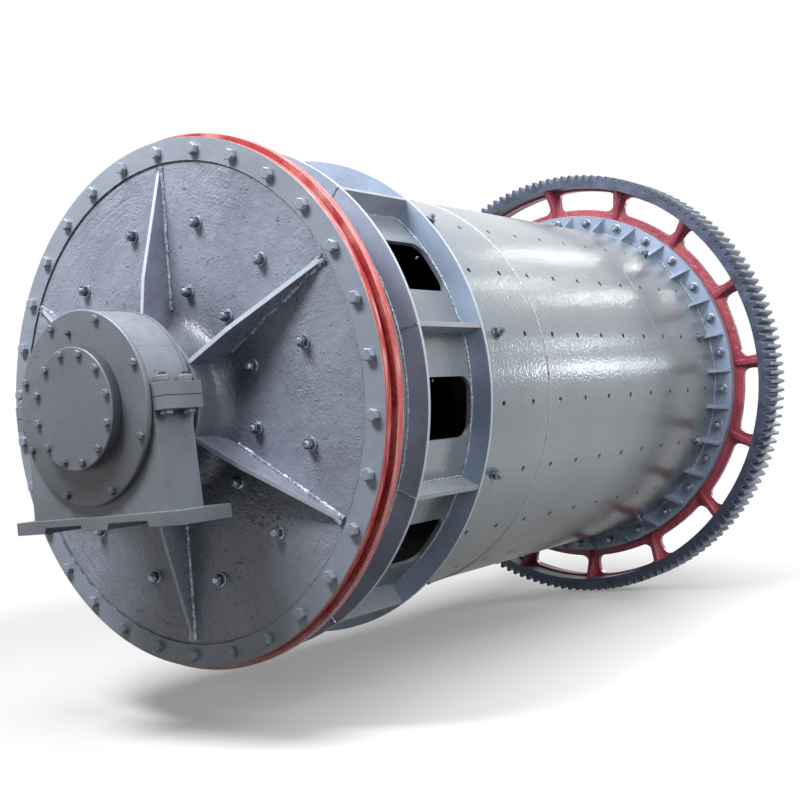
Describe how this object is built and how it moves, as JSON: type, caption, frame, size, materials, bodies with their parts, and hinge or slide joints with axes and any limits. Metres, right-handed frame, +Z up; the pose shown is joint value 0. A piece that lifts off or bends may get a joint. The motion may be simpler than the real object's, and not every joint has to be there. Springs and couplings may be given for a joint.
{
  "type": "rod mill",
  "caption": "Horizontal grinding drum on two pillow block bearings, with discharge ports round one end and a toothed girth gear round the other.",
  "frame": {"origin": "centre of the underside of the front bearing's base", "axes": "+Y along the drum's axis from the blind front bearing to the rear bearing, +Z up"},
  "size_m": [2.916, 4.992, 2.916],
  "materials": {
    "bearing_grey": "satin grey paint",
    "cast_head": "rough casting, grey paint",
    "flange_red": "red oxide primer",
    "shell_silver": "rolled aluminium paint",
    "ring_blue_grey": "satin blue grey paint",
    "gear_red": "rough casting, red primer",
    "gear_slate": "dark grease film"
  },
  "bodies": {
    "bearings": {"front_bearing_base": "bearing_grey", "front_bearing_cap": "bearing_grey", "front_bearing_outer_cover": "bearing_grey", "front_bearing_inner_cover": "bearing_grey", "front_bearing_end_cover": "bearing_grey", "rear_bearing_base": "bearing_grey", "rear_bearing_cap": "bearing_grey", "rear_bearing_outer_cover": "bearing_grey", "rear_bearing_inner_cover": "bearing_grey"},
    "drum": {"front_trunnion": "cast_head", "front_head": "cast_head", "front_head_ribs": "cast_head", "front_shell_flange": "flange_red", "discharge_course": "shell_silver", "discharge_front_ring": "ring_blue_grey", "discharge_rear_ring": "ring_blue_grey", "discharge_ribs": "ring_blue_grey", "middle_course": "shell_silver", "rear_course": "shell_silver", "rear_shell_flange": "ring_blue_grey", "rear_flange_gussets": "ring_blue_grey", "girth_gear_web": "gear_red", "girth_gear_rim": "gear_slate", "rear_head": "cast_head", "rear_head_ribs": "cast_head", "rear_trunnion": "cast_head"}
  },
  "joints": [
    {"name": "drum_spin", "type": "hinge", "parent": "bearings", "child": "drum", "pos_m": [0, 0, 0.507], "axis": [0, 1, 0], "continuous": true}
  ]
}
